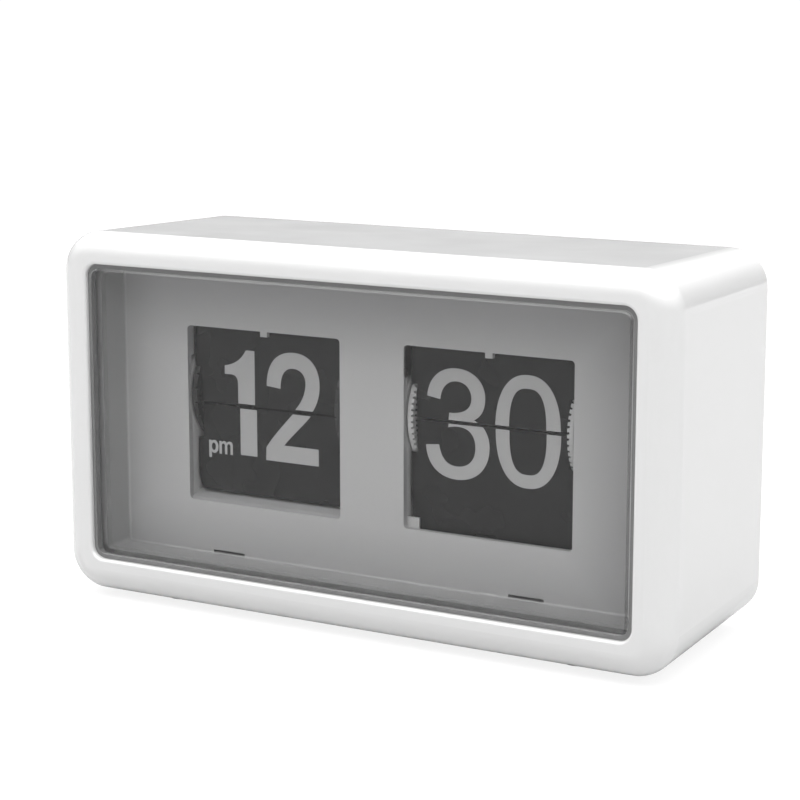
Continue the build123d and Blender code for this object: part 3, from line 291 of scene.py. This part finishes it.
def smoked_lens(name, node):
    """Smoked clear plastic. Light loses a share on entering a flat or bevelled face and none at the cut
    edges. Just inside the clear rim the pane is painted darker, fading out inwards, as painted shade on
    what lies behind it. Bevels facing right are painted darker and those facing up, down or left
    lighter, as a painted stand-in for the light they bend, and the bevels take a painted white veil,
    weakest where they face right; every outer face mirrors a little of the room, and the flat faces
    scatter a faint haze."""
    n = Nodes(name)
    geometry = n.add("ShaderNodeNewGeometry")
    entering = n.math("SUBTRACT", 1.0, geometry.outputs["Backfacing"])
    normal = n.add("ShaderNodeSeparateXYZ")
    n.join(geometry.outputs["True Normal"], normal.inputs["Vector"])
    facing = n.math("ABSOLUTE", normal.outputs["Y"])
    flat = n.math("GREATER_THAN", facing, 0.97)
    bevel = n.math("SUBTRACT", n.math("GREATER_THAN", facing, 0.3), flat)

    # painted shade: from RIM_BAND inwards the pane takes more, fading out by RIM_REACH, so what lies behind its
    # rim looks shaded
    depth = rim_depth(n, node)
    in_painted_rim_shade = n.math("GREATER_THAN", depth, RIM_BAND)
    painted_rim_shade = n.math("MULTIPLY", n.spread(depth, RIM_PAINTED_SHADE, 0, RIM_BAND, RIM_REACH), in_painted_rim_shade)
    pane_loss = n.math("ADD", painted_rim_shade, PANE_LOSS)
    # painted light and shade: bevels facing right take more, and those facing up, down or left take less
    painted_lean = n.math("SUBTRACT", normal.outputs["X"], n.math("ABSOLUTE", normal.outputs["Z"]))
    bevel_loss = n.math("ADD", n.math("MULTIPLY", painted_lean, BEVEL_PAINTED_LEAN), BEVEL_LOSS)
    loss = n.math("ADD", n.math("MULTIPLY", flat, pane_loss), n.math("MULTIPLY", bevel, bevel_loss))
    clear = n.add("ShaderNodeBsdfTransparent")
    n.join(n.tint(n.math("MULTIPLY", loss, entering), shade(1.0), shade(0.0)), clear.inputs["Color"])

    # painted light: a white veil on the bevels, weakest on those facing right
    painted_bevel_veil = n.math("MULTIPLY", n.math("SUBTRACT", 1.0, normal.outputs["X"]), BEVEL_PAINTED_VEIL)
    haze = n.math("ADD", n.math("MULTIPLY", flat, PANE_HAZE), n.math("MULTIPLY", bevel, painted_bevel_veil))
    veil = n.add("ShaderNodeBsdfDiffuse")
    veil.inputs["Color"].default_value = (*shade(0.9), 1)
    body = n.blend(n.math("MULTIPLY", haze, entering), clear.outputs["BSDF"], veil.outputs["BSDF"])

    mirror = n.add("ShaderNodeBsdfGlossy")
    n.join(n.spread(n.noise(0.02, 3.0), 0.015, 0.05), mirror.inputs["Roughness"])
    fresnel = n.add("ShaderNodeFresnel")
    fresnel.inputs["IOR"].default_value = PANE_IOR
    share = n.math("MULTIPLY", fresnel.outputs["Fac"], entering)
    return n.finish(n.blend(share, body, mirror.outputs["BSDF"]))


MATERIALS = {
    "white_gloss": glossy_housing("white_gloss", shade(0.7)),
    "foot_rubber": rubber("foot_rubber", 0.12),
    "smoked_lens": smoked_lens("smoked_lens", "lens"),
    "seal_rubber": rubber("seal_rubber", 0.2),
    "dial_grey": dial_with_painted_wall_shade("dial_grey"),
    "plate_grey": moulded("plate_grey", shade(0.6), 0.45),
    "leaf_black": leaf_film("leaf_black"),
    "drum_white": moulded("drum_white", shade(0.62), 0.4),
    "drum_black": moulded("drum_black", shade(0.012), 0.35),
    "gear_white": moulded("gear_white", shade(0.78, 0.03), 0.35),
    "steel": metal("steel", shade(0.6), 0.28, stretch=(1, 1, 0.1)),
    "brass": metal("brass", (0.75, 0.52, 0.22), 0.25),
    "screw_steel": metal("screw_steel", shade(0.52), 0.3),
    "stator_iron": metal("stator_iron", shade(0.34), 0.42, stretch=(1, 0.08, 1)),
    "copper": copper_winding("copper"),
    "magnet": metal("magnet", shade(0.14), 0.5),
    "case_black": moulded("case_black", shade(0.02), 0.5, depth=1e-5),
    "board_green": board("board_green"),
    "can_metal": metal("can_metal", shade(0.72), 0.16, stretch=(1, 1, 0.2)),
    "cover_white": moulded("cover_white", shade(0.72), 0.5, grain=0.0005, depth=1.6e-5),
    "cell_sleeve": battery_cell("cell_sleeve", "battery"),
    "contact_nickel": metal("contact_nickel", (0.7, 0.67, 0.6), 0.2),
    "wire_red": moulded("wire_red", (0.45, 0.02, 0.015), 0.42, grain=0.0002, depth=3e-6, clouds=0.1),
    "wire_black": rubber("wire_black", 0.02),
    "wheel_grey": moulded("wheel_grey", shade(0.2), 0.4, depth=8e-6),
    "print_white": ink("print_white", 0.55),
}

for part in frame["record"]["subparts"]:
    mesh = frame["nodes"][part["node"]].data
    mesh.materials.clear()
    mesh.materials.append(MATERIALS[part["material_slot"]])

# ---------------------------------------------------------------- number outlines
# Each glyph is a list of closed outlines in millimetres from its left foot. An outline starts at its
# first point. A step of two numbers is a straight line to that point, and a step of six numbers is a
# curve to its last point, with the two control points first.


def oval(centre, half_width, half_height, fullness, count=72):
    """Outline of a rounded oval; fullness 2 is an ellipse, and more is squarer."""
    points = []
    for index in range(count):
        angle = 2 * math.pi * index / count
        x = abs(math.cos(angle)) ** (2 / fullness) * math.copysign(1, math.cos(angle))
        z = abs(math.sin(angle)) ** (2 / fullness) * math.copysign(1, math.sin(angle))
        points.append((centre[0] + half_width * x, centre[1] + half_height * z))
    return points


THIN_THREE = [
    [
        (0.4, 19.3),
        (0.8, 23.7, 3.9, 26.35, 8.1, 26.35),
        (12.6, 26.35, 15.7, 23.7, 15.7, 19.9),
        (15.7, 17.3, 14.7, 15.5, 12.8, 14.6),
        (15.3, 13.6, 16.8, 11.3, 16.8, 8.3),
        (16.8, 3.4, 13.4, 0, 8.3, 0),
        (3.3, 0, 0.2, 3.0, 0, 7.6),
        (3.5, 7.95),
        (3.9, 5.2, 5.3, 3.15, 8.2, 3.15),
        (11.3, 3.15, 13.1, 5.1, 13.1, 8.0),
        (13.1, 11.0, 11.3, 12.6, 8.6, 12.6),
        (7.6, 12.6, 6.7, 12.5, 5.9, 12.25),
        (6.3, 15.75),
        (9.9, 15.75, 12.1, 17.0, 12.1, 19.5),
        (12.1, 21.8, 10.5, 23.3, 8.2, 23.3),
        (5.6, 23.3, 4.1, 21.3, 3.9, 18.75),
    ]
]
THIN_NOUGHT = [oval((8.35, 13.2), 8.35, 13.2, 2.3), oval((8.3, 13.2), 4.75, 10.05, 2.75)]
THIN_ONE = [
    [
        (0, 18.6),
        (0, 21.1),
        (3.6, 21.3, 5.4, 23.0, 5.9, 26.3),
        (8.3, 26.3),
        (8.3, 0),
        (4.9, 0),
        (4.9, 18.6),
    ]
]
BOLD_ONE = [
    [
        (0, 20.6),
        (0, 22.7),
        (2.5, 23.1, 4.8, 24.2, 6.3, 26.9),
        (8.8, 26.9),
        (8.8, 0.5),
        (3.9, 0.5),
        (3.9, 18.2),
        (3.9, 19.9, 3.2, 20.6, 1.8, 20.6),
    ]
]
BOLD_TWO = [
    [
        (0.8, 18.7),
        (0.8, 24.3, 3.7, 27.45, 8.6, 27.45),
        (13.2, 27.45, 16.0, 24.5, 16.0, 20.0),
        (16.0, 17.3, 15.2, 15.2, 13.8, 13.3),
        (11.6, 10.2, 8.1, 7.5, 5.2, 4.15),
        (15.1, 4.15),
        (15.1, 0),
        (-0.1, 0),
        (0, 3.2),
        (2.0, 6.3, 6.3, 10.5, 8.8, 13.3),
        (10.7, 15.3, 12.0, 17.5, 12.0, 20.2),
        (12.0, 22.2, 10.6, 23.55, 8.4, 23.55),
        (6.0, 23.55, 4.8, 21.6, 4.8, 18.3),
    ]
]
SMALL_P = [
    [
        (0, -1.15),
        (0, 3.2),
        (0.75, 3.2),
        (0.75, 2.85),
        (0.95, 3.15, 1.2, 3.3, 1.55, 3.3),
        (2.3, 3.3, 2.8, 2.6, 2.8, 1.65),
        (2.8, 0.7, 2.3, 0, 1.55, 0),
        (1.2, 0, 0.95, 0.15, 0.78, 0.45),
        (0.78, -1.15),
    ],
    oval((1.42, 1.65), 0.62, 0.95, 2.0, 32),
]
SMALL_M = [
    [
        (0, 0),
        (0, 3.2),
        (0.7, 3.2),
        (0.7, 2.8),
        (0.85, 3.1, 1.1, 3.3, 1.45, 3.3),
        (1.8, 3.3, 2.1, 3.1, 2.2, 2.75),
        (2.4, 3.1, 2.7, 3.3, 3.05, 3.3),
        (3.65, 3.3, 4.0, 2.9, 4.0, 2.3),
        (4.0, 0),
        (3.3, 0),
        (3.3, 2.1),
        (3.3, 2.45, 3.15, 2.65, 2.85, 2.65),
        (2.55, 2.65, 2.35, 2.4, 2.35, 2.0),
        (2.35, 0),
        (1.65, 0),
        (1.65, 2.1),
        (1.65, 2.45, 1.5, 2.65, 1.2, 2.65),
        (0.9, 2.65, 0.72, 2.4, 0.72, 2.0),
        (0.72, 0),
    ]
]

# Each word is a list of glyphs, with the left edge from the drum's middle and the foot's height above
# the desk, in millimetres.
MINUTE_FOOT = 37.9
HOUR_FOOT = 36.7
THIRTY = [(THIN_THREE, -17.45, MINUTE_FOOT), (THIN_NOUGHT, 0.9, MINUTE_FOOT)]
THIRTY_ONE = [(THIN_THREE, -17.45, MINUTE_FOOT), (THIN_ONE, 4.2, MINUTE_FOOT)]
PM = [(SMALL_P, -18.25, 36.85), (SMALL_M, -15.15, 36.85)]
TWELVE = [(BOLD_ONE, -12.65, HOUR_FOOT), (BOLD_TWO, -1.15, HOUR_FOOT)]
ONE = [(BOLD_ONE, -5.0, HOUR_FOOT)]
INK = 0.03 * MM  # thickness of the print


def add_outline(curve, outline, x, z):
    """Adds one closed outline, moved by x and z, as a Bezier spline in the curve's own plane."""
    steps = [step if len(step) > 2 else None for step in outline[1:]] + [None]
    knots = [Vector((step[-2] + x, step[-1] + z, 0)) for step in outline]
    spline = curve.splines.new("BEZIER")
    spline.bezier_points.add(len(knots) - 1)
    spline.use_cyclic_u = True
    for index, knot in enumerate(knots):
        point = spline.bezier_points[index]
        following = knots[(index + 1) % len(knots)]
        before = knots[index - 1]
        arriving = steps[index - 1]
        leaving = steps[index]
        point.co = knot
        point.handle_left_type = "FREE"
        point.handle_right_type = "FREE"
        point.handle_left = knot.lerp(before, 1 / 3)
        point.handle_right = knot.lerp(following, 1 / 3)
        if arriving:
            point.handle_left = (arriving[2] + x, arriving[3] + z, 0)
        if leaving:
            point.handle_right = (leaving[0] + x, leaving[1] + z, 0)


def clip(mesh, height, keep_above):
    """Cuts a closed mesh at a height and closes the cut."""
    work = bmesh.new()
    work.from_mesh(mesh)
    bmesh.ops.remove_doubles(work, verts=work.verts, dist=1e-7)
    geometry = work.verts[:] + work.edges[:] + work.faces[:]
    cut = bmesh.ops.bisect_plane(
        work,
        geom=geometry,
        plane_co=(0, 0, height),
        plane_no=(0, 0, 1),
        clear_inner=keep_above,
        clear_outer=not keep_above,
    )
    rim = [item for item in cut["geom_cut"] if isinstance(item, bmesh.types.BMEdge)]
    if rim:
        bmesh.ops.holes_fill(work, edges=rim)
    bmesh.ops.recalc_face_normals(work, faces=work.faces)
    work.to_mesh(mesh)
    work.free()


def stamp(name, words, middle, face_y, low=None, high=None):
    """Raised print whose ink stands just in front of face_y, kept between two heights."""
    curve = bpy.data.curves.new(name, "CURVE")
    curve.dimensions = "2D"
    curve.fill_mode = "BOTH"
    curve.resolution_u = 10
    curve.extrude = 0.5 * INK
    for glyph, left, foot in words:
        for outline in glyph:
            scaled = [tuple(value * MM for value in step) for step in outline]
            add_outline(curve, scaled, middle + left * MM, foot * MM)
    drawn = bpy.data.objects.new(name, curve)
    bpy.context.scene.collection.objects.link(drawn)
    mesh = bpy.data.meshes.new_from_object(drawn.evaluated_get(bpy.context.evaluated_depsgraph_get()))
    bpy.data.objects.remove(drawn)
    upright = Matrix.Rotation(math.pi / 2, 4, "X")
    mesh.transform(Matrix.Translation((0, face_y - INK / 6, 0)) @ upright)
    if low is not None:
        clip(mesh, low, True)
    if high is not None:
        clip(mesh, high, False)
    mesh.materials.clear()
    mesh.materials.append(MATERIALS["print_white"])
    piece = bpy.data.objects.new(name, mesh)
    bpy.context.scene.collection.objects.link(piece)
    return piece


def half_turn(piece, pivot):
    """Turns a piece half a turn about the line parallel to X through pivot."""
    turn = Matrix.Translation(pivot) @ Matrix.Rotation(math.pi, 4, "X") @ Matrix.Translation(-pivot)
    piece.data.transform(turn)


# ---------------------------------------------------------------- printed leaves
EDGE = 0.3 * MM  # the print stops this far from a leaf's edge

# name, the drum's joint, the falling leaf's joint and body, number of leaves, word shown, next word
DRUMS = (
    ("minute", "minute_drum_turn", "minute_leaf_fall", "falling_minute_leaf", 60, THIRTY, THIRTY_ONE),
    ("hour", "hour_drum_turn", "hour_leaf_fall", "falling_hour_leaf", 24, TWELVE + PM, ONE + PM),
)
for drum, drum_joint, fall_joint, leaf_body, count, now, later in DRUMS:
    axis = Vector(joints[drum_joint]["pos_m"])
    pivot = Vector(joints[fall_joint]["pos_m"])
    flap_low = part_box(drum + "_flap")[0]
    pack_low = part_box(drum + "_leaves")[0]
    root = pivot.z - flap_low.z
    ring = math.hypot(pivot.y - axis.y, pivot.z - axis.z)
    place = math.asin((pivot.z - axis.z) / ring)
    lower_edge = axis.z + ring * math.sin(place - 2 * math.pi / count) + root
    upper_edge = axis.z + ring * math.sin(place + 2 * math.pi / count) - root
    middle = axis.x
    top = stamp(drum + "_print_upper", now, middle, flap_low.y, low=flap_low.z + EDGE)
    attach(top, leaf_body)
    low = stamp(drum + "_print_lower", now, middle, pack_low.y, high=lower_edge - EDGE)
    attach(low, "housing")
    next_top = stamp(drum + "_print_next_upper", later, middle, pack_low.y, low=upper_edge + EDGE)
    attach(next_top, "housing")
    fallen_top = pivot.z + root - EDGE
    next_low = stamp(drum + "_print_next_lower", later, middle, flap_low.y, high=fallen_top)
    half_turn(next_low, pivot)
    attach(next_low, leaf_body)


# ---------------------------------------------------------------- floor, light and camera
FLOOR_GLOW = 0.8  # share of the floor's look that doesn't depend on the light on it
FLOOR_REACH = 6.0  # metres from the middle to each side
FLOOR_STEPS = 24


def floor_material():
    """White floor; it throws less light on the clock than its brightness to the camera suggests."""
    n = Nodes("floor")
    cloud = n.noise(0.4, 2.0)
    lit = n.surface(n.tint(cloud, shade(0.985), shade(1.0)), 0.9, Specular_IOR_Level=0.0)
    glow = n.add("ShaderNodeEmission")
    glow.inputs["Strength"].default_value = BACKDROP
    seen = n.blend(FLOOR_GLOW, lit, glow.outputs["Emission"])
    thrown = n.surface(n.tint(cloud, shade(0.59), shade(0.6)), 0.9, Specular_IOR_Level=0.0)
    path = n.add("ShaderNodeLightPath")
    return n.finish(n.blend(path.outputs["Is Camera Ray"], thrown, seen))


# how bright the room is for soft light, from straight behind (0) over the sides (0.5) to straight
# in front (1), and how bright it is for mirror reflections, by height above the horizon
ROOM_LIGHT = 3.65
ROOM_STOPS = ((0.001, 0.4), (0.4, 0.5), (0.6, 0.9), (0.75, 1.0), (0.85, 0.5), (0.999, 0.4))
SKY_STOPS = ((0.001, 0.06), (0.15, 0.08), (0.45, 0.42), (0.7, 0.8), (0.999, 1.35))
BOX_LIGHT = 6.0
BOX_STOPS = ((0.001, 0.03), (0.22, 0.06), (0.52, 0.32), (0.62, 1.0), (0.999, 1.0))


def make_floor():
    """Flat floor at the height the feet stand on, far wider than the view."""
    mesh = bpy.data.meshes.new("floor")
    work = bmesh.new()
    bmesh.ops.create_grid(work, x_segments=FLOOR_STEPS, y_segments=FLOOR_STEPS, size=FLOOR_REACH)
    work.to_mesh(mesh)
    work.free()
    mesh.materials.append(floor_material())
    floor = bpy.data.objects.new("floor", mesh)
    bpy.context.scene.collection.objects.link(floor)


def make_world():
    """White room. Soft light comes mostly from high up and from about 60 degrees off the front;
    mirror reflections see a dark horizon under bright overhead boxes."""
    world = bpy.data.worlds.new("studio")
    world.use_nodes = True
    tree = world.node_tree
    tree.nodes.clear()

    def ramp(source, stops):
        """Brightness by the source's value, from (position, level) stops between 0 and 1."""
        node = tree.nodes.new("ShaderNodeValToRGB")
        elements = node.color_ramp.elements
        for position, level in stops:
            stop = elements.new(position)
            stop.color = (level, level, level, 1)
        elements.remove(elements[0])
        elements.remove(elements[-1])
        tree.links.new(source, node.inputs["Fac"])
        return node.outputs["Color"]

    def background(colour, strength):
        node = tree.nodes.new("ShaderNodeBackground")
        node.inputs["Strength"].default_value = strength
        tree.links.new(colour, node.inputs["Color"])
        return node.outputs[0]

    coords = tree.nodes.new("ShaderNodeTexCoord")
    split = tree.nodes.new("ShaderNodeSeparateXYZ")
    tree.links.new(coords.outputs["Generated"], split.inputs["Vector"])
    forward = tree.nodes.new("ShaderNodeMath")
    forward.operation = "MULTIPLY_ADD"
    forward.inputs[1].default_value = -0.5
    forward.inputs[2].default_value = 0.5
    tree.links.new(split.outputs["Y"], forward.inputs[0])
    sky = tree.nodes.new("ShaderNodeMix")
    sky.data_type = "RGBA"
    sky.blend_type = "MULTIPLY"
    sky.inputs["Factor"].default_value = 1.0
    tree.links.new(ramp(forward.outputs["Value"], ROOM_STOPS), sky.inputs["A"])
    tree.links.new(ramp(split.outputs["Z"], SKY_STOPS), sky.inputs["B"])
    room = background(sky.outputs["Result"], ROOM_LIGHT)
    boxes = background(ramp(split.outputs["Z"], BOX_STOPS), BOX_LIGHT)
    white = tree.nodes.new("ShaderNodeBackground")
    white.inputs["Color"].default_value = (1, 1, 1, 1)
    white.inputs["Strength"].default_value = BACKDROP
    path = tree.nodes.new("ShaderNodeLightPath")
    surface = white.outputs[0]
    for flag, light in (("Is Diffuse Ray", room), ("Is Glossy Ray", boxes)):
        mix = tree.nodes.new("ShaderNodeMixShader")
        tree.links.new(path.outputs[flag], mix.inputs[0])
        tree.links.new(surface, mix.inputs[1])
        tree.links.new(light, mix.inputs[2])
        surface = mix.outputs[0]
    output = tree.nodes.new("ShaderNodeOutputWorld")
    tree.links.new(surface, output.inputs["Surface"])
    bpy.context.scene.world = world


CAMERA_PLACE = Vector((0.26156, -0.45152, 0.1506))
CAMERA_AIM = Vector((-0.49432, 0.84949, -0.18441))
FOCAL_LENGTH = 99.0
SENSOR_WIDTH = 36.0


def make_camera():
    """Long lens, a little above the clock and about 30 degrees round to its right."""
    data = bpy.data.cameras.new("camera")
    data.lens = FOCAL_LENGTH
    data.sensor_width = SENSOR_WIDTH
    data.clip_start = 0.01
    camera = bpy.data.objects.new("camera", data)
    camera.location = CAMERA_PLACE
    camera.rotation_euler = CAMERA_AIM.to_track_quat("-Z", "Y").to_euler()
    bpy.context.scene.collection.objects.link(camera)
    bpy.context.scene.camera = camera


make_floor()
make_world()
make_camera()
bpy.context.scene.view_settings.view_transform = "Standard"
